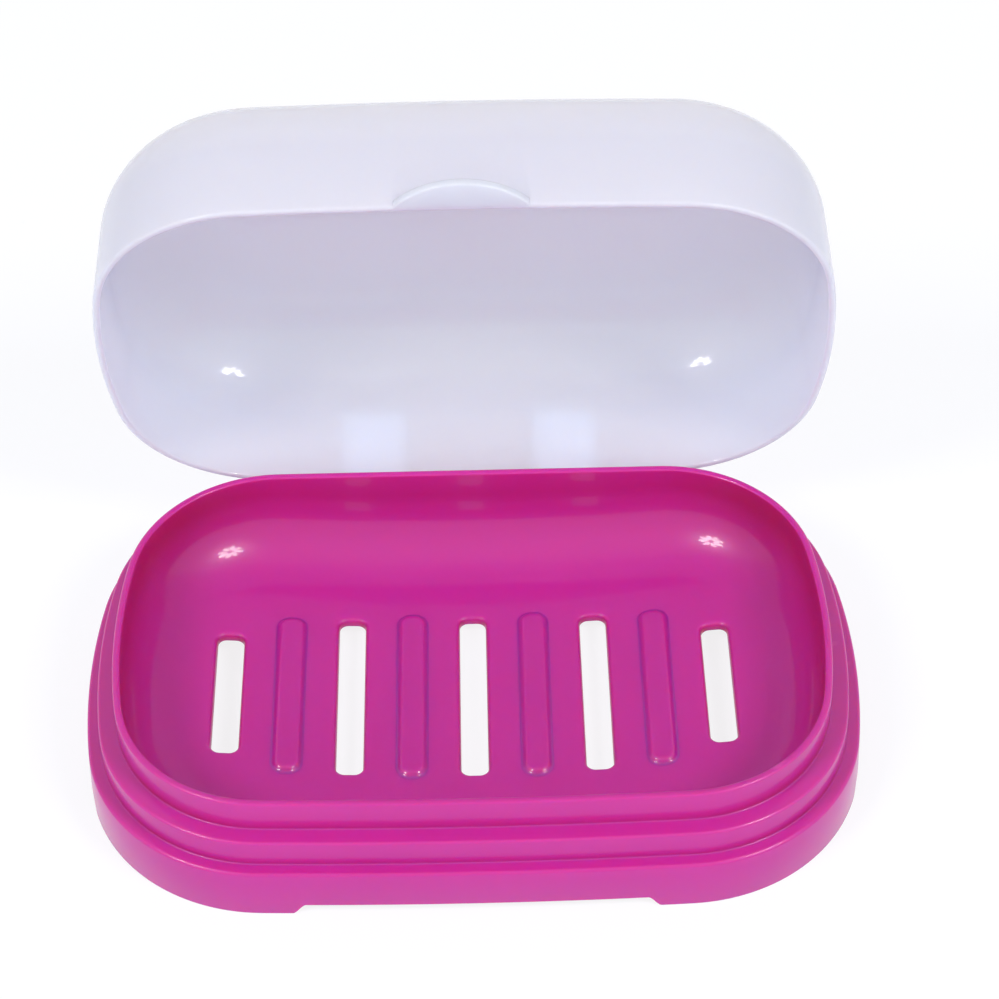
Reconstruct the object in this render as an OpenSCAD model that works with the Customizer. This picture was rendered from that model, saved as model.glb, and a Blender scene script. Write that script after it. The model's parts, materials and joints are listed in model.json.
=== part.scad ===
// Travel soap box: a slotted tray on a stepped base, and a hinged domed lid.
// Millimetres. The origin is the centre of the base's underside, +X to the right,
// +Y to the hinge side and +Z up. The lid is drawn at its open stop.

/* [Outline] */
// Outside length of the tray rim
rim_length = 106; // [98:1:116]
// Outside width of the tray rim
rim_width = 67.4; // [62:0.2:74]
// Corner radius of the tray rim
corner_r = 24; // [20:0.5:26]

/* [Base] */
// Height of the tray rim
rim_z = 18.3; // [16:0.1:22]
// Height of the ledge that the lid closes on
ledge_z = 13.0; // [12:0.1:14.5]
// Height of the shoulder below the ledge
shoulder_z = 8.45; // [7:0.05:9.5]
// How far the ledge stands out from the tray rim
ledge_out = 2.7; // [2.2:0.1:3.2]
// How far the shoulder stands out from the tray rim
shoulder_out = 4.7; // [4.2:0.1:6]
// How far the bottom edge stands out from the tray rim
foot_out = 5.0; // [4.8:0.1:7]
// Wall thickness of the skirt and the ledges
skirt_wall = 1.4; // [1:0.1:1.8]
// Rounding of the ledge edge
ledge_round = 0.4; // [0.2:0.05:0.8]
// Rounding of the shoulder edge
shoulder_round = 0.5; // [0.2:0.05:0.9]
// Height of the gaps between the feet
foot_gap_h = 1.8; // [1:0.1:2]
// Length of the front and rear gaps between the feet
foot_gap_length = 49; // [40:1:60]
// Width of the end gaps between the feet
foot_gap_width = 35; // [25:1:40]
// Run of the sloping end of a foot
foot_slope = 1.8; // [0.5:0.1:4]

/* [Tray] */
// Wall thickness of the tray
tray_wall = 1.1; // [0.8:0.05:1.4]
// Thickness of the tray floor
floor_t = 1.3; // [1:0.1:1.4]
// Height of the top of the floor at the middle
floor_z = 3.4; // [3.3:0.1:5]
// Radius that the floor is dished to along the box
dish_r = 400; // [300:10:1200]
// Radius between the tray wall and the floor
bowl_r = 10.5; // [7:0.5:12]

/* [Slots and ribs] */
// Distance from slot to slot
slot_pitch = 18.6; // [14:0.2:19]
// Width of a drain slot
slot_width = 4.0; // [2:0.2:6]
// Corner radius of a drain slot
slot_round = 1.3; // [0.3:0.1:1.9]
// Length of the middle slot
slot_length_mid = 31.4; // [20:0.2:38]
// Length of the slots beside the middle one
slot_length_side = 30.8; // [20:0.2:38]
// Length of the two end slots
slot_length_end = 23.4; // [12:0.2:28]
// Width of a rib between the slots
rib_width = 3.7; // [2:0.1:5]
// Height of a rib over the floor
rib_h = 0.7; // [0.3:0.1:1.5]
// Corner radius of a rib
rib_round = 1.6; // [0.3:0.1:1.8]
// Length of the two ribs nearest the middle
rib_length_inner = 32; // [20:0.2:38]
// Length of the two outer ribs
rib_length_outer = 30.4; // [16:0.2:34]

/* [Lid] */
// How far the lid's rim stands out from the tray rim
lid_out = 1.5; // [1.4:0.05:1.8]
// Wall thickness of the lid
lid_wall = 1.1; // [0.8:0.05:1.2]
// Gap between the closed lid and the ledge
lid_seat_gap = 0.2; // [0.1:0.05:0.4]
// Height of the lid from its rim to its top
lid_h = 26.9; // [22:0.1:32]
// Rounding between the lid's walls and its top
dome_r = 15; // [10:0.5:17]
// How much the lid's walls lean in per millimetre of height
lid_draft = 0.037; // [0:0.001:0.06]
// Width of the thumb lip where it meets the lid
lip_width = 19; // [14:0.5:26]
// How far the thumb lip stands out from the lid
lip_out = 4.7; // [2.5:0.1:6]
// Thickness of the thumb lip
lip_t = 1.2; // [0.8:0.1:2]

/* [Hinge] */
// Distance from the hinge axis out to the tray rim's rear face
hinge_out = 2.5; // [2.4:0.05:2.8]
// Distance from the hinge axis down from the ledge
hinge_down = 1.1; // [1:0.05:1.3]
// Distance between the middles of the two hinges
hinge_spacing = 30.3; // [26:0.1:34]
// Width of a lid knuckle and its arm
knuckle_width = 10.3; // [6:0.1:11]
// Radius of a lid knuckle
knuckle_r = 1.5; // [1.3:0.05:1.6]
// Thickness of a lid arm outside the lid's wall
arm_t = 1.2; // [0.8:0.1:1.3]
// Height of a lid arm over the lid's rim
arm_h = 11.8; // [8:0.1:13]
// Thickness of a hinge post of the base
post_t = 2.4; // [1.5:0.1:3]
// Radius of a hinge post around the pin
post_r = 1.4; // [1.2:0.05:1.45]
// Diameter of the hinge pin
pin_d = 1.5; // [1.2:0.05:1.6]
// Radial clearance of the pin in the lid knuckle
pin_gap = 0.08; // [0.04:0.01:0.15]
// Side clearance between a knuckle and its posts
knuckle_side_gap = 0.3; // [0.2:0.05:0.5]
// Radial clearance around a knuckle
knuckle_gap = 0.3; // [0.2:0.05:0.35]
// How far the lid opens from closed, in degrees
open_angle = 76; // [60:1:90]
// Gap between the open lid and its stop
stop_gap = 0.06; // [0.02:0.01:0.15]

/* [Hidden] */
$fn = 96;
magenta = [0.78, 0.20, 0.58];
milky = [0.90, 0.89, 0.95, 0.75];
steel = [0.75, 0.76, 0.78];
rim_x = rim_length / 2;
rim_y = rim_width / 2;
// Overlap that joins pieces of one solid
join = 0.4;
// Overrun of a cut past the face that it opens
over = 1;

corner_x = rim_x - corner_r;
corner_y = rim_y - corner_r;
lid_z = ledge_z + lid_seat_gap;
lid_top = lid_z + lid_h;
dome_z = lid_top - dome_r;
dome_out = lid_out - lid_draft * (dome_z - lid_z);
lid_rear_y = rim_y + lid_out;
hinge_y = rim_y + hinge_out;
hinge_z = ledge_z - hinge_down;
hinge_back = hinge_y - lid_rear_y;
under_r = bowl_r + (tray_wall + floor_t) / 2;
post_in = knuckle_width / 2 + knuckle_side_gap;
pin_length = 2 * (post_in + post_t);

// Height of the dished floor at a distance x from the middle
function dish_z(x) = floor_z + dish_r - sqrt(dish_r * dish_r - x * x);
// Height of the open lid's rear wall over the hinge side, at a depth y
function open_wall_z(y) = hinge_z + hinge_back * sin(open_angle)
    + (y - hinge_y + hinge_back * cos(open_angle)) / tan(open_angle);

// The quarter of a disc with x and y above zero
module quarter(r) {
    intersection() {
        circle(r);
        square(r);
    }
}

// The flat outline of the tray rim, offset outwards by out
module outline(out) {
    square(2 * [corner_x, rim_y + out], center = true);
    square(2 * [rim_x + out, corner_y], center = true);
    for (x = [0, 1], y = [0, 1]) mirror([x, 0]) mirror([0, y]) translate([corner_x, corner_y])
        quarter(corner_r + out);
}

// Carries a section all the way round the tray rim: its x is the distance outwards from the
// rim's outline, and its y is the height
module around() {
    for (side = [0, 1]) {
        mirror([0, side, 0]) translate([-corner_x, rim_y, 0]) rotate([90, 0, 90])
            linear_extrude(2 * corner_x) children();
        mirror([side, 0, 0]) translate([rim_x, corner_y, 0]) rotate([90, 0, 0])
            linear_extrude(2 * corner_y) children();
        for (end = [0, 1]) mirror([end, 0, 0]) mirror([0, side, 0]) translate([corner_x, corner_y, 0])
            rotate_extrude(angle = 90) translate([corner_r, 0]) children();
    }
}

// What an outer corner at (x, y) loses when it is rounded
module corner_waste(x, y, r) {
    translate([x - r, y - r]) difference() {
        square(r + over);
        circle(r);
    }
}

// A slot or rib as seen from above, in its own length along Y
module bar(width, length, r) {
    square([width - 2 * r, length], center = true);
    square([width, length - 2 * r], center = true);
    for (x = [-1, 1], y = [-1, 1]) translate([x * (width / 2 - r), y * (length / 2 - r)]) circle(r);
}

// A solid bowl of the rim's outline offset by out, with its walls rounded into its floor
module bowl(out, bottom, r, top) {
    around() {
        translate([out - r - join, bottom]) square([join, top - bottom]);
        translate([out - r, bottom + r]) square([r, top - bottom - r]);
        translate([out - r, bottom + r]) mirror([0, 1]) quarter(r);
    }
    translate([0, 0, bottom]) linear_extrude(top - bottom) outline(out - r - join / 2);
}

// The space above a floor dished to radius r, whose lowest line is at height z
module over_dish(z, r) {
    translate([0, 0, z + r]) rotate([90, 0, 0]) cylinder(r = r, h = 2 * rim_width, center = true, $fn = 360);
}

// The tray as an open bowl
module tray() {
    difference() {
        intersection() {
            bowl(0, floor_z - floor_t, under_r, rim_z);
            over_dish(floor_z - floor_t, dish_r + floor_t);
        }
        intersection() {
            bowl(-tray_wall, floor_z, bowl_r, rim_z + over);
            over_dish(floor_z, dish_r);
        }
    }
}

// Section of the ledge, the shoulder and the skirt
module skirt_section() {
    difference() {
        polygon([[foot_out, 0], [shoulder_out, shoulder_z], [ledge_out, shoulder_z], [ledge_out, ledge_z],
            [-tray_wall / 2, ledge_z], [-tray_wall / 2, ledge_z - skirt_wall],
            [ledge_out - skirt_wall, ledge_z - skirt_wall], [ledge_out - skirt_wall, shoulder_z - skirt_wall],
            [shoulder_out - skirt_wall, shoulder_z - skirt_wall], [foot_out - skirt_wall, 0]]);
        corner_waste(shoulder_out, shoulder_z, shoulder_round);
        corner_waste(ledge_out, ledge_z, ledge_round);
    }
}

// The gaps between the four feet, cut right across the box both ways
module foot_gap(length, reach) {
    rotate([90, 0, 0]) linear_extrude(2 * reach, center = true)
        polygon([[-length / 2 - foot_slope - over * foot_slope / foot_gap_h, -over],
            [length / 2 + foot_slope + over * foot_slope / foot_gap_h, -over],
            [length / 2, foot_gap_h], [-length / 2, foot_gap_h]]);
}

module ribs() {
    for (side = [-1, 1], rib = [[0.5, rib_length_inner], [1.5, rib_length_outer]]) {
        x = side * rib[0] * slot_pitch;
        difference() {
            translate([x, 0, dish_z(x) - floor_t / 2]) linear_extrude(rib_h + floor_t)
                bar(rib_width, rib[1], rib_round);
            over_dish(floor_z + rib_h, dish_r);
        }
    }
}

module slots() {
    for (side = [-1, 1], slot = [[1, slot_length_side], [2, slot_length_end]]) {
        translate([side * slot[0] * slot_pitch, 0, 0]) linear_extrude(ledge_z)
            bar(slot_width, slot[1], slot_round);
    }
    linear_extrude(ledge_z) bar(slot_width, slot_length_mid, slot_round);
}

// Carries a section in (y, z) along X over a width, centred on x
module across(x, width) {
    translate([x - width / 2, 0, 0]) rotate([90, 0, 90]) linear_extrude(width) children();
}

// Section of a hinge post: an eye for the pin, and a heel that stops the open lid
module post_section() {
    heel_y = rim_y + shoulder_out;
    heel_in = hinge_y + post_r;
    low_z = shoulder_z - skirt_wall / 2;
    translate([hinge_y, hinge_z]) circle(post_r);
    polygon([[rim_y + ledge_out - skirt_wall / 2, low_z], [heel_y, low_z],
        [heel_y, open_wall_z(heel_y) - stop_gap], [heel_in, open_wall_z(heel_in) - stop_gap],
        [hinge_y + post_r * cos(45), hinge_z + post_r * sin(45)], [hinge_y, hinge_z]]);
}

// Hinge posts and the block between them that closes the hinge pocket
module hinge_posts(x) {
    for (side = [-1, 1]) across(x + side * (post_in + post_t / 2), post_t) post_section();
    across(x, pin_length) translate([rim_y - tray_wall / 2, shoulder_z - skirt_wall / 2])
        square([ledge_out + tray_wall / 2, ledge_z - shoulder_z + skirt_wall / 2]);
}

module hinge_pocket(x) {
    across(x, 2 * post_in) translate([hinge_y, hinge_z]) circle(knuckle_r + knuckle_gap);
}

module pin(x, length) {
    across(x, length) translate([hinge_y, hinge_z]) circle(pin_d / 2);
}

module base() {
    color(magenta) difference() {
        union() {
            tray();
            around() skirt_section();
            ribs();
            for (side = [-1, 1]) hinge_posts(side * hinge_spacing / 2);
        }
        slots();
        foot_gap(foot_gap_length, rim_width);
        rotate([0, 0, 90]) foot_gap(foot_gap_width, rim_length);
        for (side = [-1, 1]) {
            hinge_pocket(side * hinge_spacing / 2);
            pin(side * hinge_spacing / 2, pin_length + 2 * over);
        }
    }
}

// Section of the lid's wall and its rounding into the top
module lid_section() {
    centre = dome_out - dome_r;
    polygon([[lid_out, lid_z], [dome_out, dome_z],
        [dome_out - lid_wall, dome_z], [lid_out - lid_wall, lid_z]]);
    translate([centre, dome_z]) difference() {
        quarter(dome_r);
        circle(dome_r - lid_wall);
    }
    translate([centre - join, lid_top - lid_wall]) square([join, lid_wall]);
}

// Half-moon lip at the front of the lid's rim, for the thumb
module thumb_lip() {
    lip_r = (pow(lip_width / 2, 2) + pow(lip_out, 2)) / (2 * lip_out);
    front_y = -rim_y - lid_out;
    translate([0, 0, lid_z]) linear_extrude(lip_t) intersection() {
        translate([0, front_y - lip_out + lip_r]) circle(lip_r);
        translate([-lip_width, front_y - 2 * lip_out]) square([2 * lip_width, 2 * lip_out + lid_wall / 2]);
    }
}

module arm_section() {
    wall_y = lid_rear_y - lid_draft * arm_h;
    polygon([[lid_rear_y, hinge_z], [lid_rear_y + arm_t, hinge_z],
        [lid_rear_y + arm_t, lid_z + arm_h - arm_t],
        [wall_y, lid_z + arm_h], [wall_y - lid_wall / 2, lid_z + arm_h],
        [lid_rear_y - lid_wall / 2, lid_z], [lid_rear_y, lid_z]]);
    translate([hinge_y, hinge_z]) circle(knuckle_r);
}

module closed_lid() {
    difference() {
        union() {
            around() lid_section();
            translate([0, 0, lid_top - lid_wall]) linear_extrude(lid_wall)
                outline(dome_out - dome_r - join / 2);
            thumb_lip();
            for (side = [-1, 1]) across(side * hinge_spacing / 2, knuckle_width) arm_section();
        }
        for (side = [-1, 1]) across(side * hinge_spacing / 2, knuckle_width + 2 * over)
            translate([hinge_y, hinge_z]) circle(pin_d / 2 + pin_gap);
    }
}

module lid() {
    color(milky) translate([0, hinge_y, hinge_z]) rotate([-open_angle, 0, 0])
        translate([0, -hinge_y, -hinge_z]) closed_lid();
}

module hinge_pin_left() {
    color(steel) pin(-hinge_spacing / 2, pin_length);
}

module hinge_pin_right() {
    color(steel) pin(hinge_spacing / 2, pin_length);
}

base();
lid();
hinge_pin_left();
hinge_pin_right();
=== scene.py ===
import json
import math

import bmesh
import bpy
from mathutils import Matrix, Quaternion, Vector
from mathutils.geometry import delaunay_2d_cdt


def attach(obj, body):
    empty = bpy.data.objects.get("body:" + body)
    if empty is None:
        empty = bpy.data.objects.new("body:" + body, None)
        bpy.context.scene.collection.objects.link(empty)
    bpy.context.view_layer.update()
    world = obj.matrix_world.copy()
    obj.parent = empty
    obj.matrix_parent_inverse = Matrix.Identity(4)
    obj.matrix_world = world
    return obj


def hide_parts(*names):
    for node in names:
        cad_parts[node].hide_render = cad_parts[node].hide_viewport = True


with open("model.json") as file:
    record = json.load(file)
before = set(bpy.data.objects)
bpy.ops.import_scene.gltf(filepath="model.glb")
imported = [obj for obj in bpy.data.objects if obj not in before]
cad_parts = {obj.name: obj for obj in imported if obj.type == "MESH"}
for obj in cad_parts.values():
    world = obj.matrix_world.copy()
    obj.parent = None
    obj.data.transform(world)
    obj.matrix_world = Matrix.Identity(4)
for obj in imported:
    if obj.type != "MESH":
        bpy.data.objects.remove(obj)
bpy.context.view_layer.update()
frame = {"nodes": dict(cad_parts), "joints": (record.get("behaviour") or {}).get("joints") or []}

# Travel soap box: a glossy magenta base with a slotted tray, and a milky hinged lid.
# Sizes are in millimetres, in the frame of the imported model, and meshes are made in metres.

MM = 0.001

# Making of the meshes: steps along the outline, the distance at which points are one, how far a cut
# runs past what it cuts, and the angles at which an edge gets rounded or stays sharp in the shading
STEP = 1.1
FINE_STEP = 0.25
LEAST_STEP = 0.3 * STEP
SAME_POINT = 0.001
CUT_PAST = 1.0
ROUNDED_ANGLE = 30
SHARP_ANGLE = 35
RIB_SHARP_ANGLE = 60

# Outline of the tray rim
RIM_X = 53.0
RIM_Y = 33.7
CORNER_R = 22.4
END_BOW_R = 98.0
FRONT_BOW_R = 833.0

# Base
RIM_Z = 18.3
LEDGE_Z = 13.0
SHOULDER_Z = 8.45
LEDGE_OUT = 2.7
SHOULDER_OUT = 4.7
FOOT_OUT = 5.0
SKIRT_WALL = 1.4
FOOT_GAP_H = 1.8
FOOT_GAP_X = 24.5
FOOT_GAP_Y = 17.5
FOOT_SLOPE = 1.8
FOOT_STRAIGHT = 0.35
RIM_ROUND = 0.35
LEDGE_ROUND = 0.4
SHOULDER_ROUND = 0.5
FOOT_ROUND = 0.3
STEP_FILLET = 0.25

# Tray
TRAY_WALL = 1.1
FLOOR_T = 1.3
FLOOR_Z = 3.4
DISH_R = 400.0
BOWL_R = 10.5
FLOOR_GRID = 1.0
SLOT_PITCH = 18.6
SLOT_WIDTH = 4.0
SLOT_ROUND = 1.3
SLOT_LENGTHS = {-2: 23.4, -1: 30.8, 0: 31.4, 1: 30.8, 2: 23.4}
SLOT_EDGE = 0.8
SLOT_EDGE_STEPS = [0, 0.12, 0.3, 0.5, SLOT_EDGE]
RIB_WIDTH = 3.7
RIB_H = 0.7
RIB_ROUND = 1.6
RIB_LENGTH_INNER = 32.0
RIB_LENGTH_OUTER = 30.4

# Lid, as it lies when closed
LID_OUT = 1.5
LID_WALL = 1.1
LID_Z = 13.2
LID_H = 26.9
DOME_R = 15.0
LID_DRAFT = 0.037
LID_ROUND = 0.4
LIP_WIDTH = 19.0
LIP_OUT = 4.7
LIP_T = 1.2
LIP_ROUND = 0.3

# Hinge: its axis and the lid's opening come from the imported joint
HINGE = frame["joints"][0]
HINGE_Y = HINGE["pos_m"][1] / MM
HINGE_Z = HINGE["pos_m"][2] / MM
OPEN_ANGLE = math.radians(HINGE["range_deg"][1])
HINGE_X = 15.15
KNUCKLE_WIDTH = 10.3
KNUCKLE_R = 1.5
KNUCKLE_GAP = 0.3
ARM_T = 1.2
ARM_H = 11.8
POST_T = 2.4
POST_R = 1.4
POST_SINK = 0.02
HINGE_ROUND = 0.2
PIN_R = 0.75
PIN_IN_POST = 0.01
PIN_IN_KNUCKLE = 0.08
HEEL_BACK = 0.08
STOP_GAP = 0.06

# Camera of the photograph, fitted to the box's edges
CAMERA_PLACE = Vector((2.43, -289.97, 328.70))
CAMERA_YAW = 0.39
CAMERA_DOWN = 44.42
CAMERA_ROLL = -0.98
CAMERA_LENS = 103.29
CAMERA_SENSOR = 36.0

# Light of the studio: two umbrellas, placed in metres and mirrored, and soft light whose level
# grows towards each direction
UMBRELLA_PLACE = (0.75, -0.55, 1.0)
UMBRELLA_AIM = (0, 0.01, 0.03)
UMBRELLA_R = 0.24
UMBRELLA_POWER = 8.1
GORES = 8
GORE_LENGTH = UMBRELLA_R * 0.72
GORE_WIDTH = UMBRELLA_R * 0.36
GORE_MIDDLE = UMBRELLA_R * 0.58
SOFT_LEVEL = 0.02
SOFT_LIGHT = {(0.0, -1.0, 0.0): 1.12, (0.0, 1.0, 0.0): 1.15}
SOFT_TINT = "#E9EEFF"
FLOOR_HALF = 3000
FLOOR_WHITE = 1.04
FLOOR_WHITE_SHARE = 0.8


def make_camera():
    """The photograph's camera. Its lens and sensor are in millimetres, as its place is."""
    yaw, down, roll = (math.radians(a) for a in (CAMERA_YAW, CAMERA_DOWN, CAMERA_ROLL))
    ahead = Vector((math.sin(yaw) * math.cos(down), math.cos(yaw) * math.cos(down), -math.sin(down)))
    level = Vector((math.cos(yaw), -math.sin(yaw), 0))
    over = level.cross(ahead)
    right = math.cos(roll) * level + math.sin(roll) * over
    up = math.cos(roll) * over - math.sin(roll) * level
    data = bpy.data.cameras.new("camera")
    data.lens = CAMERA_LENS
    data.sensor_width = CAMERA_SENSOR
    data.clip_start = 0.01
    camera = bpy.data.objects.new("camera", data)
    turn = Matrix((right, up, -ahead)).transposed().to_4x4()
    camera.matrix_world = Matrix.Translation(CAMERA_PLACE * MM) @ turn
    bpy.context.scene.collection.objects.link(camera)
    bpy.context.scene.camera = camera


# Outline of the tray rim

END_C = RIM_X - END_BOW_R
FRONT_C = FRONT_BOW_R - RIM_Y
REAR_CORNER_Y = RIM_Y - CORNER_R
REAR_CORNER_X = END_C + math.sqrt((END_BOW_R - CORNER_R) ** 2 - REAR_CORNER_Y**2)


def front_corner():
    """Centre of the front corner arc, which touches the end bow and the front bow."""
    span = math.hypot(END_C, FRONT_C)
    along = (span**2 + (END_BOW_R - CORNER_R) ** 2 - (FRONT_BOW_R - CORNER_R) ** 2) / (2 * span)
    across = math.sqrt((END_BOW_R - CORNER_R) ** 2 - along**2)
    x = END_C + (-END_C * along + FRONT_C * across) / span
    y = (FRONT_C * along + END_C * across) / span
    return x, y


FRONT_CORNER_X, FRONT_CORNER_Y = front_corner()


def foot_fine(x, y):
    """True near the sloping end of a foot, where the outline takes closer steps."""
    reach = FOOT_SLOPE * 0.8
    near_x = abs(abs(x) - FOOT_GAP_X - FOOT_SLOPE / 2) < reach
    near_y = abs(abs(y) - FOOT_GAP_Y - FOOT_SLOPE / 2) < reach
    return near_x or near_y


def arc_stations(cx, cy, r, a1, a2, fine):
    """Points and outward directions along an arc, without its last point or one just before it."""
    angle = a1
    out = []
    while angle < a2 - 1e-6:
        nx, ny = math.cos(angle), math.sin(angle)
        x, y = cx + r * nx, cy + r * ny
        out.append((x, y, nx, ny))
        angle += (fine if foot_fine(x, y) else STEP) / (r + SHOULDER_OUT)
    last = angle - STEP / (r + SHOULDER_OUT)
    if len(out) > 1 and (a2 - last) * r < LEAST_STEP:
        out.pop()
    return out


def rim_stations(fine):
    """Points (x, y) round the tray rim with their outward directions, anticlockwise."""
    rear = math.atan2(REAR_CORNER_Y, REAR_CORNER_X - END_C)
    front = math.atan2(-FRONT_CORNER_Y, FRONT_CORNER_X - END_C)
    bow = math.atan2(FRONT_CORNER_X, FRONT_C - FRONT_CORNER_Y)
    half = math.pi / 2
    left_front = (-FRONT_CORNER_X, FRONT_CORNER_Y, CORNER_R)
    right_front = (FRONT_CORNER_X, FRONT_CORNER_Y, CORNER_R)
    out = arc_stations(END_C, 0, END_BOW_R, -front, rear, fine)
    out += arc_stations(REAR_CORNER_X, REAR_CORNER_Y, CORNER_R, rear, half, fine)
    x = REAR_CORNER_X
    while x > -REAR_CORNER_X + LEAST_STEP:
        out.append((x, RIM_Y, 0.0, 1.0))
        x -= fine if foot_fine(x, RIM_Y) else STEP
    out += arc_stations(-REAR_CORNER_X, REAR_CORNER_Y, CORNER_R, half, math.pi - rear, fine)
    out += arc_stations(-END_C, 0, END_BOW_R, math.pi - rear, math.pi + front, fine)
    out += arc_stations(*left_front, math.pi + front, 3 * half - bow, fine)
    out += arc_stations(0, FRONT_C, FRONT_BOW_R, 3 * half - bow, 3 * half + bow, fine)
    out += arc_stations(*right_front, 3 * half + bow, 4 * half - front, fine)
    return out


def arc(cx, cy, r, a1, a2, n):
    """Points of a round edge, with angles in degrees."""
    angles = [math.radians(a1 + (a2 - a1) * i / n) for i in range(n + 1)]
    return [(cx + r * math.cos(a), cy + r * math.sin(a)) for a in angles]


# Meshes


def link_mesh(name, verts, faces):
    """A mesh object at the origin, from points in millimetres."""
    mesh = bpy.data.meshes.new(name)
    mesh.from_pydata([Vector(v) * MM for v in verts], [], faces)
    obj = bpy.data.objects.new(name, mesh)
    bpy.context.scene.collection.objects.link(obj)
    return obj


def link_bmesh(name, bm):
    """A mesh object at the origin, from a bmesh in metres that is then freed."""
    mesh = bpy.data.meshes.new(name)
    bm.to_mesh(mesh)
    bm.free()
    obj = bpy.data.objects.new(name, mesh)
    bpy.context.scene.collection.objects.link(obj)
    return obj


def tidy_solid(obj):
    """Merges a closed solid's doubled points and turns its faces outwards."""
    bm = bmesh.new()
    bm.from_mesh(obj.data)
    bmesh.ops.remove_doubles(bm, verts=bm.verts, dist=SAME_POINT * MM)
    bmesh.ops.recalc_face_normals(bm, faces=bm.faces)
    bm.to_mesh(obj.data)
    bm.free()


def shade(obj, sharp_angle):
    """Shades a piece smooth, apart from its edges that turn by more than an angle in degrees."""
    obj.data.shade_smooth()
    obj.data.set_sharp_from_angle(angle=math.radians(sharp_angle))


def combine(target, tool, operation):
    """Joins a tool solid to the target, or cuts it away, and removes the tool."""
    cut = target.modifiers.new("combine", "BOOLEAN")
    cut.solver = "EXACT"
    cut.operation = operation
    cut.object = tool
    graph = bpy.context.evaluated_depsgraph_get()
    mesh = bpy.data.meshes.new_from_object(target.evaluated_get(graph))
    target.modifiers.remove(cut)
    old = target.data
    target.data = mesh
    bpy.data.meshes.remove(old)
    bpy.data.objects.remove(tool)


def carried(name, outline, way, round_edge, steps):
    """A solid carried from an outline of points along a way, with its sharp edges rounded."""
    bm = bmesh.new()
    start = [bm.verts.new(Vector(point) * MM) for point in outline]
    face = bm.faces.new(start)
    moved = bmesh.ops.extrude_face_region(bm, geom=[face])
    end = [v for v in moved["geom"] if isinstance(v, bmesh.types.BMVert)]
    bmesh.ops.translate(bm, verts=end, vec=[distance * MM for distance in way])
    bmesh.ops.recalc_face_normals(bm, faces=bm.faces)
    if round_edge:
        sharp = [e for e in bm.edges if e.calc_face_angle(0) > math.radians(ROUNDED_ANGLE)]
        bmesh.ops.bevel(bm, geom=sharp, offset=round_edge * MM, segments=steps, profile=0.5,
                        affect="EDGES")
    return link_bmesh(name, bm)


def across(name, outline, x, width, round_edge=0.0):
    """A solid carried along X from an outline in (y, z), with x at its middle."""
    points = [(x - width / 2, y, z) for y, z in outline]
    return carried(name, points, (width, 0, 0), round_edge, 2)


def bar_ring(width, length, r, out, steps=6):
    """A rounded oblong round the origin, its edge moved outwards by out."""
    hx, hy = width / 2 - r, length / 2 - r
    ring = []
    for sx, sy, start in ((1, 1, 0), (-1, 1, 90), (-1, -1, 180), (1, -1, 270)):
        ring += arc(sx * hx, sy * hy, r + out, start, start + 90, steps)
    return ring


def long_ring(ring, gap):
    """The ring with its long sides cut into steps of about gap."""
    out = []
    for (x1, y1), (x2, y2) in zip(ring, ring[1:] + ring[:1]):
        n = max(1, round(math.hypot(x2 - x1, y2 - y1) / gap))
        out += [(x1 + (x2 - x1) * i / n, y1 + (y2 - y1) * i / n) for i in range(n)]
    return out


def oblong_distance(x, y, width, length, r):
    """Distance from a rounded oblong's edge, negative inside."""
    qx = abs(x) - (width / 2 - r)
    qy = abs(y) - (length / 2 - r)
    return math.hypot(max(qx, 0), max(qy, 0)) + min(max(qx, qy), 0) - r


# Base


def dish_z(x):
    """Height of the dished floor."""
    return FLOOR_Z + DISH_R - math.sqrt(DISH_R**2 - x * x)


def slot_distance(x, y):
    """Distance from the edge of the nearest slot, negative inside it."""
    k = max(-2, min(2, round(x / SLOT_PITCH)))
    return oblong_distance(x - k * SLOT_PITCH, y, SLOT_WIDTH, SLOT_LENGTHS[k], SLOT_ROUND)


def tray_top_z(x, y):
    """Height of the tray floor, falling away where it rounds into a slot."""
    d = slot_distance(x, y)
    if d >= SLOT_EDGE:
        return dish_z(x)
    d = max(d, 0)
    return dish_z(x) - SLOT_EDGE + math.sqrt(SLOT_EDGE**2 - (SLOT_EDGE - d) ** 2)


def tray_under_z(x, y):
    """Height of the floor's underside, which has no edges of its own."""
    return dish_z(x) - FLOOR_T


def foot_z(x, y):
    """Height of the skirt's bottom edge: 0 at the feet, raised in the gaps between them."""
    in_front = (FOOT_GAP_X + FOOT_SLOPE - abs(x)) / FOOT_SLOPE
    at_end = (FOOT_GAP_Y + FOOT_SLOPE - abs(y)) / FOOT_SLOPE
    t = max(0, min(1, max(in_front, at_end)))
    return FOOT_GAP_H * (FOOT_STRAIGHT * t + (1 - FOOT_STRAIGHT) * t * t * (3 - 2 * t))


def skirt_r(z):
    """How far the skirt stands outside the rim at a height."""
    return FOOT_OUT - (FOOT_OUT - SHOULDER_OUT) * z / SHOULDER_Z


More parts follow.
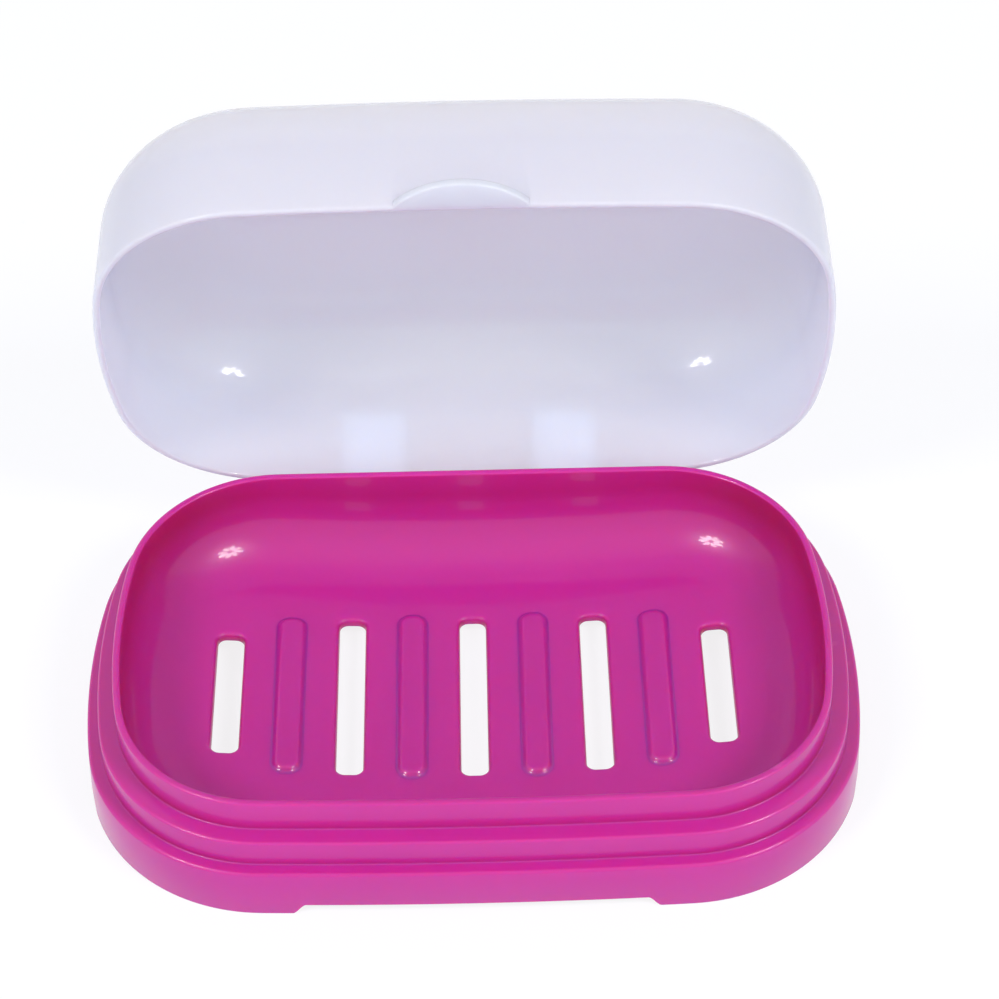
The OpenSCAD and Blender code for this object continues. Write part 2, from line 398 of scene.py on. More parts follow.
def base_section(station):
    """The base's wall from the tray floor, over the rim and round the skirt, to the floor's underside."""
    x, y, nx, ny = station
    centre = -TRAY_WALL - BOWL_R
    slope = (x + centre * nx) * nx / DISH_R
    lean = math.degrees(math.atan(slope))
    touch = centre + BOWL_R * math.sin(math.radians(lean))
    centre_z = dish_z(x + touch * nx) + BOWL_R * math.cos(math.radians(lean))
    low = foot_z(x + FOOT_OUT * nx, y + FOOT_OUT * ny)
    out = arc(centre, centre_z, BOWL_R, -90 + lean, 0, 16)
    out += arc(-TRAY_WALL + RIM_ROUND, RIM_Z - RIM_ROUND, RIM_ROUND, 180, 90, 4)
    out += arc(-RIM_ROUND, RIM_Z - RIM_ROUND, RIM_ROUND, 90, 0, 4)
    out += arc(STEP_FILLET, LEDGE_Z + STEP_FILLET, STEP_FILLET, 180, 270, 3)
    out += arc(LEDGE_OUT - LEDGE_ROUND, LEDGE_Z - LEDGE_ROUND, LEDGE_ROUND, 90, 0, 4)
    out += arc(LEDGE_OUT + STEP_FILLET, SHOULDER_Z + STEP_FILLET, STEP_FILLET, 180, 270, 3)
    out += arc(SHOULDER_OUT - SHOULDER_ROUND, SHOULDER_Z - SHOULDER_ROUND, SHOULDER_ROUND, 90, 0, 5)
    edge = skirt_r(low)
    out += arc(edge - FOOT_ROUND, low + FOOT_ROUND, FOOT_ROUND, 0, -90, 4)
    inner = edge - SKIRT_WALL
    out += arc(inner + FOOT_ROUND, low + FOOT_ROUND, FOOT_ROUND, 270, 180, 3)
    out += [(SHOULDER_OUT - SKIRT_WALL, SHOULDER_Z - SKIRT_WALL)]
    out += [(LEDGE_OUT - SKIRT_WALL, SHOULDER_Z - SKIRT_WALL)]
    out += [(LEDGE_OUT - SKIRT_WALL, LEDGE_Z - SKIRT_WALL)]
    drop = (centre_z - LEDGE_Z + SKIRT_WALL) / (BOWL_R + TRAY_WALL)
    start = -math.degrees(math.asin(drop))
    steps = 12
    for i in range(steps + 1):
        t = i / steps
        a = math.radians(start + (-90 + lean - start) * t)
        r = BOWL_R + TRAY_WALL + (FLOOR_T - TRAY_WALL) * t
        out.append((centre + r * math.cos(a), centre_z + r * math.sin(a)))
    return out


def swept(stations, sections):
    """Points and faces of open sections carried round the outline."""
    verts, faces = [], []
    count = len(sections[0])
    for (x, y, nx, ny), section in zip(stations, sections):
        verts += [(x + r * nx, y + r * ny, z) for r, z in section]
    for i in range(len(stations)):
        a, b = i * count, ((i + 1) % len(stations)) * count
        for j in range(count - 1):
            faces.append((a + j, b + j, b + j + 1, a + j + 1))
    return verts, faces


def inside_margin(x, y, ring, margin):
    """True where a point is inside a convex anticlockwise ring by at least the margin."""
    for (x1, y1), (x2, y2) in zip(ring, ring[1:] + ring[:1]):
        ex, ey = x2 - x1, y2 - y1
        if (ex * (y - y1) - ey * (x - x1)) < margin * math.hypot(ex, ey):
            return False
    return True


def floor_patch(ring, height, slot_rings, gap):
    """A floor of even triangles inside a ring of points with heights, with the slots left open."""
    flat = [(x, y) for x, y, z in ring]
    spots = list(flat)
    edges = [(i, (i + 1) % len(flat)) for i in range(len(flat))]
    near = gap * 0.6
    row_gap = gap * 0.87
    clear = slot_rings[-1] + near
    for k, length in SLOT_LENGTHS.items():
        for out in slot_rings:
            loop = long_ring(bar_ring(SLOT_WIDTH, length, SLOT_ROUND, out), gap)
            start = len(spots)
            spots += [(x + k * SLOT_PITCH, y) for x, y in loop]
            edges += [(start + i, start + (i + 1) % len(loop)) for i in range(len(loop))]
    x_count = int(RIM_X / gap)
    y_count = int(RIM_Y / gap)
    for i in range(-x_count, x_count + 1):
        for j in range(-y_count, y_count + 1):
            x = (i + 0.5 * (j % 2)) * gap
            y = j * row_gap
            if slot_distance(x, y) > clear and inside_margin(x, y, flat, near):
                spots.append((x, y))
    found = delaunay_2d_cdt([Vector(s) for s in spots], edges, [], 1, 1e-5)
    triangles, origins = found[2], found[3]
    verts = []
    for origin in origins:
        x, y = spots[origin[0]]
        z = ring[origin[0]][2] if origin[0] < len(ring) else height(x, y)
        verts.append((x, y, z))
    faces = []
    for t in triangles:
        cx = sum(verts[i][0] for i in t) / 3
        cy = sum(verts[i][1] for i in t) / 3
        if slot_distance(cx, cy) > 0:
            faces.append(tuple(t))
    return verts, faces


def slot_walls(gap):
    """The walls of the slots, between the floor's top and its underside."""
    verts, faces = [], []
    for k, length in SLOT_LENGTHS.items():
        loop = long_ring(bar_ring(SLOT_WIDTH, length, SLOT_ROUND, 0), gap)
        n, start = len(loop), len(verts)
        for height in (tray_top_z, tray_under_z):
            verts += [(x + k * SLOT_PITCH, y, height(x + k * SLOT_PITCH, y)) for x, y in loop]
        for i in range(n):
            j = (i + 1) % n
            faces.append((start + i, start + j, start + n + j, start + n + i))
    return verts, faces


def open_wall_z(y):
    """Height of the open lid's rear wall over the hinge side, at a depth y."""
    back = HINGE_Y - RIM_Y - LID_OUT
    run = (y - HINGE_Y + back * math.cos(OPEN_ANGLE)) / math.tan(OPEN_ANGLE)
    return HINGE_Z + back * math.sin(OPEN_ANGLE) + run


def post_outline():
    """A hinge post: an eye for the pin, and a heel that stops the open lid."""
    heel_y = RIM_Y + SHOULDER_OUT
    heel_in = HINGE_Y + POST_R + HEEL_BACK
    low = SHOULDER_Z - SKIRT_WALL / 2
    out = [(heel_y, low), (heel_y, open_wall_z(heel_y) - STOP_GAP)]
    out += [(heel_in, open_wall_z(heel_in) - STOP_GAP)]
    out += arc(HINGE_Y, HINGE_Z, POST_R, 45, 190, 14)
    out += [(RIM_Y + LEDGE_OUT - SKIRT_WALL / 2, low)]
    return out


def hinge_side(base, x):
    """Adds the posts and the pocket of one hinge to the base."""
    inner = KNUCKLE_WIDTH / 2 + KNUCKLE_GAP
    low = SHOULDER_Z - SKIRT_WALL / 2
    top = LEDGE_Z - POST_SINK
    back = RIM_Y + LEDGE_OUT - POST_SINK
    front = RIM_Y - TRAY_WALL / 2
    block = [(front, low), (back, low), (back, top), (front, top)]
    combine(base, across("block", block, x, 2 * (inner + POST_T)), "UNION")
    for side in (-1, 1):
        post = across("post", post_outline(), x + side * (inner + POST_T / 2), POST_T, HINGE_ROUND)
        combine(base, post, "UNION")
    pocket = arc(HINGE_Y, HINGE_Z, KNUCKLE_R + KNUCKLE_GAP, 0, 360, 40)[:-1]
    combine(base, across("pocket", pocket, x, 2 * inner), "DIFFERENCE")
    hole = arc(HINGE_Y, HINGE_Z, PIN_R + PIN_IN_POST, 0, 360, 24)[:-1]
    combine(base, across("hole", hole, x, 2 * (inner + POST_T) + CUT_PAST), "DIFFERENCE")


def make_base():
    """The base as one closed shell: wall, tray floor, slots and hinge posts."""
    stations = rim_stations(FINE_STEP)
    sections = [base_section(s) for s in stations]
    verts, faces = swept(stations, sections)
    count = len(sections[0])
    top_ring = verts[0::count]
    under_ring = verts[count - 1 :: count]
    parts = [
        floor_patch(top_ring, tray_top_z, SLOT_EDGE_STEPS, FLOOR_GRID),
        floor_patch(under_ring, tray_under_z, [0], FLOOR_GRID),
        slot_walls(FLOOR_GRID),
    ]
    for more_verts, more_faces in parts:
        shift = len(verts)
        verts = verts + more_verts
        faces = faces + [tuple(i + shift for i in f) for f in more_faces]
    base = link_mesh("base_shell", verts, faces)
    tidy_solid(base)
    for side in (-1, 1):
        hinge_side(base, side * HINGE_X)
    shade(base, SHARP_ANGLE)
    return base


# Lid


def lid_section():
    """The lid's wall from the inside of its flat top, round the rim, to the outside of its top."""
    top = LID_Z + LID_H
    dome_z = top - DOME_R
    dome_out = LID_OUT - LID_DRAFT * (dome_z - LID_Z)
    centre = dome_out - DOME_R
    out = arc(centre, dome_z, DOME_R - LID_WALL, 90, 0, 20)
    out += arc(LID_OUT - LID_WALL + LID_ROUND, LID_Z + LID_ROUND, LID_ROUND, 180, 270, 4)
    out += arc(LID_OUT - LID_ROUND, LID_Z + LID_ROUND, LID_ROUND, 270, 360, 4)
    out += arc(centre, dome_z, DOME_R, 0, 90, 20)
    return out


def lip_solid():
    """Half-moon lip at the front of the lid's rim."""
    r = ((LIP_WIDTH / 2) ** 2 + LIP_OUT**2) / (2 * LIP_OUT)
    front = -RIM_Y - LID_OUT
    half = math.degrees(math.asin(LIP_WIDTH / 2 / r))
    inner = front + LID_WALL / 2
    outline = [(-LIP_WIDTH / 2, inner)]
    outline += arc(0, front - LIP_OUT + r, r, 270 - half, 270 + half, 32)
    outline += [(LIP_WIDTH / 2, inner)]
    points = [(x, y, LID_Z) for x, y in outline]
    return carried("lip", points, (0, 0, LIP_T), LIP_ROUND, 3)


def arm_outline():
    """A lid arm outside the rear wall, with the knuckle at its foot."""
    wall = RIM_Y + LID_OUT
    top_y = wall - LID_DRAFT * ARM_H
    out = [(wall - LID_WALL / 2, LID_Z), (wall, LID_Z)]
    out += arc(HINGE_Y, HINGE_Z, KNUCKLE_R, 128, 360, 20)
    out += [(wall + ARM_T, HINGE_Z + KNUCKLE_R), (wall + ARM_T, LID_Z + ARM_H - ARM_T)]
    out += [(top_y, LID_Z + ARM_H), (top_y - LID_WALL / 2, LID_Z + ARM_H)]
    return out


def make_lid():
    """The lid with its lip and hinge arms, made closed and turned to its open stop."""
    stations = rim_stations(STEP)
    section = lid_section()
    verts, faces = swept(stations, [section] * len(stations))
    count = len(section)
    n = len(stations)
    faces.append(tuple(i * count for i in range(n)))
    faces.append(tuple(i * count + count - 1 for i in range(n)))
    lid = link_mesh("lid_shell", verts, faces)
    tidy_solid(lid)
    combine(lid, lip_solid(), "UNION")
    for side in (-1, 1):
        arm = across("arm", arm_outline(), side * HINGE_X, KNUCKLE_WIDTH, HINGE_ROUND)
        combine(lid, arm, "UNION")
        hole = arc(HINGE_Y, HINGE_Z, PIN_R + PIN_IN_KNUCKLE, 0, 360, 24)[:-1]
        combine(lid, across("hole", hole, side * HINGE_X, KNUCKLE_WIDTH + CUT_PAST), "DIFFERENCE")
    axis = Matrix.Translation(Vector((0, HINGE_Y, HINGE_Z)) * MM)
    lid.data.transform(axis @ Matrix.Rotation(-OPEN_ANGLE, 4, "X") @ axis.inverted())
    shade(lid, SHARP_ANGLE)
    return lid


# Ribs


def rib_unit():
    """One closed low rib, lofted from rings: how far each lies outside the rib's edge, and its height."""
    flare = [(0.9, -0.06), (0.55, 0.02), (0.3, 0.12), (0.12, 0.3)]
    crown = [(-0.05, 0.48), (-0.25, 0.62), (-0.55, 0.69), (-1.1, RIB_H)]
    verts, faces = [], []
    for out, z in flare + crown:
        verts += [(x, y, z) for x, y in bar_ring(RIB_WIDTH, RIB_LENGTH_INNER, RIB_ROUND, out, 8)]
    rows = len(flare) + len(crown)
    n = len(verts) // rows
    for k in range(rows - 1):
        for i in range(n):
            j = (i + 1) % n
            faces.append((k * n + i, k * n + j, (k + 1) * n + j, (k + 1) * n + i))
    faces.append(tuple(range(n - 1, -1, -1)))
    faces.append(tuple((rows - 1) * n + i for i in range(n)))
    return link_mesh("rib_unit", verts, faces)


def add(tree, kind, at, settings=None, inputs=None):
    """Adds a node with its settings, and fills or links its inputs."""
    node = tree.nodes.new(kind)
    node.location = (at[0] * 200, at[1] * 160)
    for key, value in (settings or {}).items():
        setattr(node, key, value)
    for key, value in (inputs or {}).items():
        if isinstance(value, bpy.types.NodeSocket):
            tree.links.new(value, node.inputs[key])
        else:
            node.inputs[key].default_value = value
    return node


RIB_INPUTS = {
    "Rib": ("NodeSocketObject", None),
    "Count": ("NodeSocketInt", 4),
    "Pitch": ("NodeSocketFloat", SLOT_PITCH * MM),
    "Floor Height": ("NodeSocketFloat", FLOOR_Z * MM),
    "Dish Radius": ("NodeSocketFloat", DISH_R * MM),
    "Outer Length Share": ("NodeSocketFloat", RIB_LENGTH_OUTER / RIB_LENGTH_INNER),
    "Material": ("NodeSocketMaterial", None),
}


def ribs_tree():
    """Ribs in a row between the slots, raised and leaned with the dished floor, the outer ones shorter."""
    tree = bpy.data.node_groups.new("tray_ribs", "GeometryNodeTree")
    for name, (kind, value) in RIB_INPUTS.items():
        socket = tree.interface.new_socket(name=name, in_out="INPUT", socket_type=kind)
        if value is not None:
            socket.default_value = value
    tree.interface.new_socket(name="Geometry", in_out="OUTPUT", socket_type="NodeSocketGeometry")
    given = add(tree, "NodeGroupInput", (-6, 0)).outputs
    gaps = add(tree, "ShaderNodeMath", (-5, 2), {"operation": "SUBTRACT"}, {0: given["Count"], 1: 1.0})
    half = add(tree, "ShaderNodeMath", (-4, 2), {"operation": "MULTIPLY"}, {0: gaps.outputs[0], 1: -0.5})
    first = add(tree, "ShaderNodeMath", (-3, 2), {"operation": "MULTIPLY"},
                {0: half.outputs[0], 1: given["Pitch"]})
    start = add(tree, "ShaderNodeCombineXYZ", (-2, 2), None, {"X": first.outputs[0]})
    step = add(tree, "ShaderNodeCombineXYZ", (-2, 1), None, {"X": given["Pitch"]})
    line = add(tree, "GeometryNodeMeshLine", (-1, 2), {"mode": "OFFSET"},
               {"Count": given["Count"], "Start Location": start.outputs[0], "Offset": step.outputs[0]})
    place = add(tree, "GeometryNodeInputPosition", (-5, -1))
    x = add(tree, "ShaderNodeSeparateXYZ", (-4, -1), None, {0: place.outputs[0]}).outputs["X"]
    square = add(tree, "ShaderNodeMath", (-3, -1), {"operation": "MULTIPLY"}, {0: x, 1: x})
    twice = add(tree, "ShaderNodeMath", (-3, -2), {"operation": "MULTIPLY"},
                {0: given["Dish Radius"], 1: 2.0})
    rise = add(tree, "ShaderNodeMath", (-2, -1), {"operation": "DIVIDE"},
               {0: square.outputs[0], 1: twice.outputs[0]})
    height = add(tree, "ShaderNodeMath", (-1, -1), {"operation": "ADD"},
                 {0: rise.outputs[0], 1: given["Floor Height"]})
    lift = add(tree, "ShaderNodeCombineXYZ", (0, -1), None, {"Z": height.outputs[0]})
    raised = add(tree, "GeometryNodeSetPosition", (1, 2), None,
                 {"Geometry": line.outputs[0], "Offset": lift.outputs[0]})
    lean = add(tree, "ShaderNodeMath", (-2, -3), {"operation": "DIVIDE"}, {0: x, 1: given["Dish Radius"]})
    back = add(tree, "ShaderNodeMath", (-1, -3), {"operation": "MULTIPLY"}, {0: lean.outputs[0], 1: -1.0})
    turn = add(tree, "ShaderNodeCombineXYZ", (0, -3), None, {"Y": back.outputs[0]})
    away = add(tree, "ShaderNodeMath", (-2, -5), {"operation": "ABSOLUTE"}, {0: x})
    outer = add(tree, "ShaderNodeMath", (-1, -5), {"operation": "GREATER_THAN"},
                {0: away.outputs[0], 1: given["Pitch"]})
    share = add(tree, "GeometryNodeSwitch", (0, -5), {"input_type": "FLOAT"},
                {"Switch": outer.outputs[0], "False": 1.0, "True": given["Outer Length Share"]})
    scale = add(tree, "ShaderNodeCombineXYZ", (1, -5), None, {"X": 1.0, "Y": share.outputs[0], "Z": 1.0})
    rib = add(tree, "GeometryNodeObjectInfo", (1, 0), None, {"Object": given["Rib"]})
    row = add(tree, "GeometryNodeInstanceOnPoints", (2, 1), None,
              {"Points": raised.outputs[0], "Instance": rib.outputs["Geometry"],
               "Rotation": turn.outputs[0], "Scale": scale.outputs[0]})
    solid = add(tree, "GeometryNodeRealizeInstances", (3, 1), None, {"Geometry": row.outputs[0]})
    dressed = add(tree, "GeometryNodeSetMaterial", (4, 1), None,
                  {"Geometry": solid.outputs[0], "Material": given["Material"]})
    add(tree, "NodeGroupOutput", (5, 1), None, {"Geometry": dressed.outputs[0]})
    return tree


def make_ribs(material):
    """All ribs of the tray as one plain mesh."""
    unit = rib_unit()
    carrier = link_mesh("tray_ribs", [(0, 0, 0)], [])
    grown = carrier.modifiers.new("ribs", "NODES")
    grown.node_group = ribs_tree()
    sockets = {s.name: s.identifier for s in grown.node_group.interface.items_tree if s.in_out == "INPUT"}
    grown[sockets["Rib"]] = unit
    grown[sockets["Material"]] = material
    graph = bpy.context.evaluated_depsgraph_get()
    mesh = bpy.data.meshes.new_from_object(carrier.evaluated_get(graph))
    carrier.modifiers.remove(grown)
    carrier.data = mesh
    bpy.data.objects.remove(unit)
    shade(carrier, RIB_SHARP_ANGLE)
    return carrier


# Materials


def colour(code):
    """An sRGB hex colour as linear values."""
    parts = [int(code[i : i + 2], 16) / 255 for i in (1, 3, 5)]
    linear = [p / 12.92 if p <= 0.04045 else ((p + 0.055) / 1.055) ** 2.4 for p in parts]
    return (*linear, 1.0)


def new_material(name, settings):
    """A material with its shader, and the place on the piece that its patterns follow."""
    material = bpy.data.materials.new(name)
    material.use_nodes = True
    tree = material.node_tree
    tree.nodes.clear()
    shader = add(tree, "ShaderNodeBsdfPrincipled", (4, 0), None, settings)
    add(tree, "ShaderNodeOutputMaterial", (6, 0), None, {"Surface": shader.outputs[0]})
    place = add(tree, "ShaderNodeTexCoord", (-5, 0)).outputs["Object"]
    return material, tree, shader, place


def gloss_polypropylene():
    """Pigmented polypropylene from a polished mould: a saturated magenta under a clear gloss.

    Red light travels furthest in it. Its steep hollows, most of all at the box's ends, are painted
    crimson as painted shade, and its sharp edges are painted paler as a painted highlight.
    """
    material, tree, shader, place = new_material("moulded_polypropylene_magenta", {
        "IOR": 1.5, "Specular IOR Level": 0.3, "Metallic": 0.0,
        "Coat Weight": 0.4, "Coat Roughness": 0.04,
        "Subsurface Weight": 0.7, "Subsurface Scale": 2.2 * MM, "Subsurface Radius": (1.0, 0.06, 0.12)})
    flow = add(tree, "ShaderNodeTexNoise", (-3, 2), None,
               {"Vector": place, "Scale": 1 / (22 * MM), "Detail": 3.0})
    body = add(tree, "ShaderNodeMix", (-1, 2), {"data_type": "RGBA"},
               {0: flow.outputs["Fac"], 6: colour("#BF2090"), 7: colour("#C62496")})
    # Painted shade: steep walls in hollows, most of all at the box's ends, are mixed towards crimson
    hollow = add(tree, "ShaderNodeAmbientOcclusion", (-3, 5), {"only_local": True, "samples": 8},
                 {"Distance": 60 * MM})
    painted_shade_depth = add(tree, "ShaderNodeMapRange", (-1, 5), None,
               {"Value": hollow.outputs["AO"], "From Min": 0.92, "From Max": 0.6,
                "To Min": 0.0, "To Max": 1.0})
    skin = add(tree, "ShaderNodeNewGeometry", (-5, 4)).outputs
    face = add(tree, "ShaderNodeSeparateXYZ", (-3, 6), None, {0: skin["Normal"]})
    steep = add(tree, "ShaderNodeMath", (-1, 6), {"operation": "SUBTRACT"}, {0: 1.0, 1: face.outputs["Z"]})
    ends = add(tree, "ShaderNodeMath", (-1, 7), {"operation": "ABSOLUTE"}, {0: face.outputs["X"]})
    most = add(tree, "ShaderNodeMath", (0, 7), {"operation": "MULTIPLY_ADD"},
               {0: ends.outputs[0], 1: 0.75, 2: 0.6})
    walls = add(tree, "ShaderNodeMath", (0, 6), {"operation": "MULTIPLY"},
                {0: steep.outputs[0], 1: most.outputs[0]})
    share = add(tree, "ShaderNodeMath", (0, 5), {"operation": "MULTIPLY", "use_clamp": True},
                {0: painted_shade_depth.outputs[0], 1: walls.outputs[0]})
    painted_shade_colour = add(tree, "ShaderNodeMix", (0, 3), {"data_type": "RGBA"},
                 {0: share.outputs[0], 6: body.outputs[2], 7: colour("#AE1356")})
    # Painted highlight: sharp convex edges are mixed towards a paler pink
    painted_highlight_mask = add(tree, "ShaderNodeMapRange", (-3, 4), None,
              {"Value": skin["Pointiness"], "From Min": 0.52, "From Max": 0.62,
               "To Min": 0.0, "To Max": 0.35})
    painted_highlight_colour = add(tree, "ShaderNodeMix", (1, 2), {"data_type": "RGBA"},
               {0: painted_highlight_mask.outputs[0], 6: painted_shade_colour.outputs[2], 7: colour("#D85CB2")})
    tree.links.new(painted_highlight_colour.outputs[2], shader.inputs["Base Color"])
    fine = add(tree, "ShaderNodeTexNoise", (-3, -1), None,
               {"Vector": place, "Scale": 1 / (6 * MM), "Detail": 4.0})
    haze = add(tree, "ShaderNodeMapRange", (-1, -1), None,
               {"Value": fine.outputs["Fac"], "To Min": 0.28, "To Max": 0.38})
    tree.links.new(haze.outputs[0], shader.inputs["Roughness"])
    waves = add(tree, "ShaderNodeTexNoise", (-3, -3), None,
                {"Vector": place, "Scale": 1 / (14 * MM), "Detail": 1.0})
    # The grain of a polished mould is finer, and is drawn at half a millimetre so that it shows
    grain = add(tree, "ShaderNodeTexNoise", (-3, -4), None,
                {"Vector": place, "Scale": 1 / (0.5 * MM), "Detail": 2.0})
    relief = add(tree, "ShaderNodeMath", (-1, -3), {"operation": "MULTIPLY_ADD"},
                 {0: grain.outputs["Fac"], 1: 0.02, 2: waves.outputs["Fac"]})
    bump = add(tree, "ShaderNodeBump", (2, -3), None,
               {"Height": relief.outputs[0], "Strength": 0.12, "Distance": 0.6 * MM})
    tree.links.new(bump.outputs[0], shader.inputs["Normal"])
    return material


def milky_polypropylene():
    """Natural polypropylene with a little white: milky, slightly see-through and softly glossy.

    It has cloudy flow marks, and its bluish colour is painted whiter on the flat top, as painted light.
    """
    material, tree, shader, place = new_material("moulded_polypropylene_milky", {
        "IOR": 1.5, "Specular IOR Level": 0.2, "Metallic": 0.0, "Transmission Weight": 0.15,
        "Coat Weight": 0.6, "Coat Roughness": 0.05,
        "Subsurface Weight": 1.0, "Subsurface Scale": 5 * MM, "Subsurface Radius": (0.9, 1.0, 1.15)})
    cloud = add(tree, "ShaderNodeTexNoise", (-3, 2), None,
                {"Vector": place, "Scale": 1 / (30 * MM), "Detail": 3.0})
    body = add(tree, "ShaderNodeMix", (-1, 2), {"data_type": "RGBA"},
               {0: cloud.outputs["Fac"], 6: colour("#DEE4F8"), 7: colour("#E4E9FB")})
    # Painted light: the flat top is mixed towards white
    height = add(tree, "ShaderNodeVectorMath", (-3, 4), {"operation": "DOT_PRODUCT"},
                 {0: place, 1: (0.0, math.sin(OPEN_ANGLE), math.cos(OPEN_ANGLE))})
    rim = (HINGE_Y * math.sin(OPEN_ANGLE) + HINGE_Z * math.cos(OPEN_ANGLE) + LID_Z - HINGE_Z) * MM
    painted_light_share = add(tree, "ShaderNodeMapRange", (-2, 4), None,
               {"Value": height.outputs["Value"], "From Min": rim + (LID_H - DOME_R) * MM,
                "From Max": rim + LID_H * MM, "To Min": 0.0, "To Max": 1.0})
    painted_light_colour = add(tree, "ShaderNodeMix", (1, 2), {"data_type": "RGBA"},
               {0: painted_light_share.outputs[0], 6: body.outputs[2], 7: colour("#F8FAFF")})
    tree.links.new(painted_light_colour.outputs[2], shader.inputs["Base Color"])
    fine = add(tree, "ShaderNodeTexNoise", (-3, -1), None,
               {"Vector": place, "Scale": 1 / (8 * MM), "Detail": 4.0})
    haze = add(tree, "ShaderNodeMapRange", (-1, -1), None,
               {"Value": fine.outputs["Fac"], "To Min": 0.34, "To Max": 0.46})
    tree.links.new(haze.outputs[0], shader.inputs["Roughness"])
    waves = add(tree, "ShaderNodeTexNoise", (-3, -3), None,
                {"Vector": place, "Scale": 1 / (16 * MM), "Detail": 1.0})
    bump = add(tree, "ShaderNodeBump", (2, -3), None,
               {"Height": waves.outputs["Fac"], "Strength": 0.1, "Distance": 0.6 * MM})
    tree.links.new(bump.outputs[0], shader.inputs["Normal"])
    return material


def drawn_steel():
    """Stainless wire drawn through a die: bright, with fine lines along the pin."""
    material, tree, shader, place = new_material("stainless_wire_drawn", {"Metallic": 1.0})
    along = add(tree, "ShaderNodeMapping", (-4, 0), None, {"Vector": place, "Scale": (0.05, 1.0, 1.0)})
    # The die's lines are finer, and are drawn 0.12 mm apart so that they show
    lines = add(tree, "ShaderNodeTexNoise", (-3, 0), None,
                {"Vector": along.outputs[0], "Scale": 1 / (0.12 * MM), "Detail": 2.0})
    body = add(tree, "ShaderNodeMix", (-1, 1), {"data_type": "RGBA"},
               {0: lines.outputs["Fac"], 6: colour("#B9BABD"), 7: colour("#CFD0D3")})
    tree.links.new(body.outputs[2], shader.inputs["Base Color"])
    haze = add(tree, "ShaderNodeMapRange", (-1, -1), None,
               {"Value": lines.outputs["Fac"], "To Min": 0.22, "To Max": 0.38})
    tree.links.new(haze.outputs[0], shader.inputs["Roughness"])
    bump = add(tree, "ShaderNodeBump", (2, -3), None,
               {"Height": lines.outputs["Fac"], "Strength": 0.2, "Distance": 0.05 * MM})
    tree.links.new(bump.outputs[0], shader.inputs["Normal"])
    return material


# Studio


def background_share(tree):
    """1 for what the camera sees directly, through the milky wall or mirrored in a gloss, and else 0."""
    path = add(tree, "ShaderNodeLightPath", (-6, 2)).outputs
    share = path["Is Camera Ray"]
    for row, ray in enumerate(("Is Glossy Ray", "Is Transmission Ray")):
        either = add(tree, "ShaderNodeMath", (row - 5, 2), {"operation": "MAXIMUM"},
                     {0: share, 1: path[ray]})
        share = either.outputs[0]
    return share


def make_floor():
    """A sheet of pale paper that keeps the box's shadow, and is white where the camera sees it."""
    corners = [(-1, -1), (1, -1), (1, 1), (-1, 1)]
    floor = link_mesh("floor", [(x * FLOOR_HALF, y * FLOOR_HALF, 0) for x, y in corners], [(0, 1, 2, 3)])
    material = bpy.data.materials.new("floor_paper")
    material.use_nodes = True
    tree = material.node_tree
    tree.nodes.clear()
    matt = add(tree, "ShaderNodeBsdfDiffuse", (0, 1), None, {"Color": colour("#F0F1FB")})
    white = add(tree, "ShaderNodeEmission", (0, 0), None, {"Color": (1, 1, 1, 1), "Strength": FLOOR_WHITE})
    share = add(tree, "ShaderNodeMath", (-1, 2), {"operation": "MULTIPLY"},
                {0: background_share(tree), 1: FLOOR_WHITE_SHARE})
    mix = add(tree, "ShaderNodeMixShader", (2, 1), None,
              {0: share.outputs[0], 1: matt.outputs[0], 2: white.outputs[0]})
    add(tree, "ShaderNodeOutputMaterial", (3, 1), None, {"Surface": mix.outputs[0]})
    floor.data.materials.append(material)


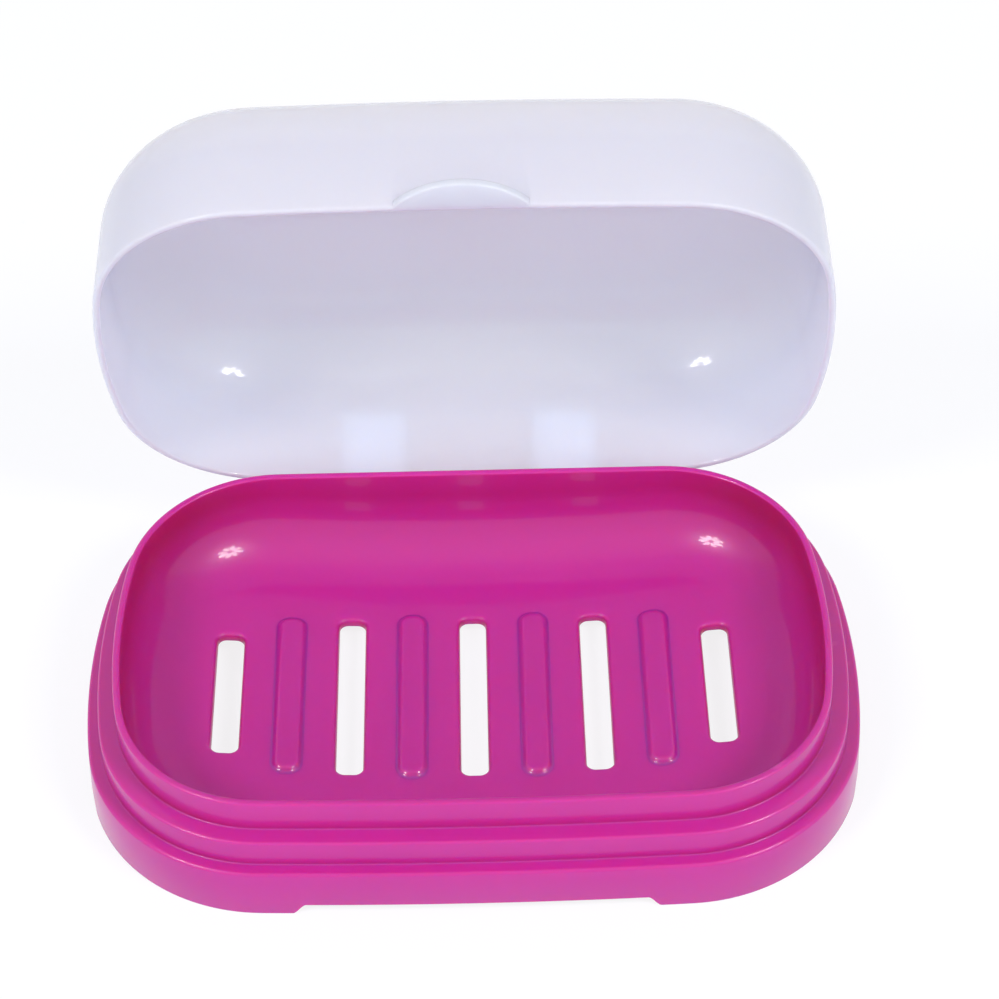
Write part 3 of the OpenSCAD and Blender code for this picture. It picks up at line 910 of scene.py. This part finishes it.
def make_world():
    """Soft light from all round, of a level that changes with the direction that it comes from."""
    world = bpy.data.worlds.new("studio")
    bpy.context.scene.world = world
    world.use_nodes = True
    tree = world.node_tree
    tree.nodes.clear()
    way = add(tree, "ShaderNodeTexCoord", (-7, 0)).outputs["Generated"]
    level = SOFT_LEVEL
    for row, (direction, share) in enumerate(SOFT_LIGHT.items()):
        facing = add(tree, "ShaderNodeVectorMath", (-6, -row), {"operation": "DOT_PRODUCT"},
                     {0: way, 1: direction})
        cut = add(tree, "ShaderNodeMath", (-5, -row), {"operation": "MAXIMUM"},
                  {0: facing.outputs["Value"], 1: 0.0})
        part = add(tree, "ShaderNodeMath", (-4, -row), {"operation": "MULTIPLY_ADD"},
                   {0: cut.outputs[0], 1: share, 2: level})
        level = part.outputs[0]
    soft = add(tree, "ShaderNodeBackground", (-1, 1), None, {"Color": colour(SOFT_TINT), "Strength": level})
    white = add(tree, "ShaderNodeBackground", (-1, 0), None, {"Color": (1, 1, 1, 1), "Strength": 1.0})
    mix = add(tree, "ShaderNodeMixShader", (1, 1), None,
              {0: background_share(tree), 1: soft.outputs[0], 2: white.outputs[0]})
    add(tree, "ShaderNodeOutputWorld", (2, 1), None, {"Surface": mix.outputs[0]})


def umbrella(name, place):
    """A studio umbrella: its lit gores stand round the dark lamp head, between the ribs."""
    facing = (Vector(UMBRELLA_AIM) - Vector(place)).to_track_quat("-Z", "Y")
    for i in range(GORES):
        turn = facing @ Quaternion((0, 0, 1), 2 * math.pi * i / GORES)
        data = bpy.data.lights.new(f"{name}_{i}", "AREA")
        data.shape = "ELLIPSE"
        data.size = GORE_LENGTH
        data.size_y = GORE_WIDTH
        data.energy = UMBRELLA_POWER / GORES
        gore = bpy.data.objects.new(data.name, data)
        gore.location = Vector(place) + turn @ Vector((GORE_MIDDLE, 0, 0))
        gore.rotation_euler = turn.to_euler()
        bpy.context.scene.collection.objects.link(gore)


def light_studio():
    """One umbrella on each side in front of the box."""
    x, y, z = UMBRELLA_PLACE
    umbrella("lamp_left", (-x, y, z))
    umbrella("lamp_right", (x, y, z))


def dress(obj, body, material, node):
    """Gives a finished piece its material and body, and hides the CAD node that it stands for."""
    obj.data.materials.clear()
    obj.data.materials.append(material)
    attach(obj, body)
    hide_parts(node)


make_camera()
magenta = gloss_polypropylene()
milky = milky_polypropylene()
steel = drawn_steel()
dress(make_base(), "base_body", magenta, "base")
dress(make_ribs(magenta), "base_body", magenta, "base")
dress(make_lid(), "lid_body", milky, "lid")
for pin in ("hinge_pin_left", "hinge_pin_right"):
    for holder in frame["nodes"][pin].material_slots:
        holder.material = steel
make_floor()
make_world()
light_studio()
bpy.context.scene.view_settings.view_transform = "Standard"
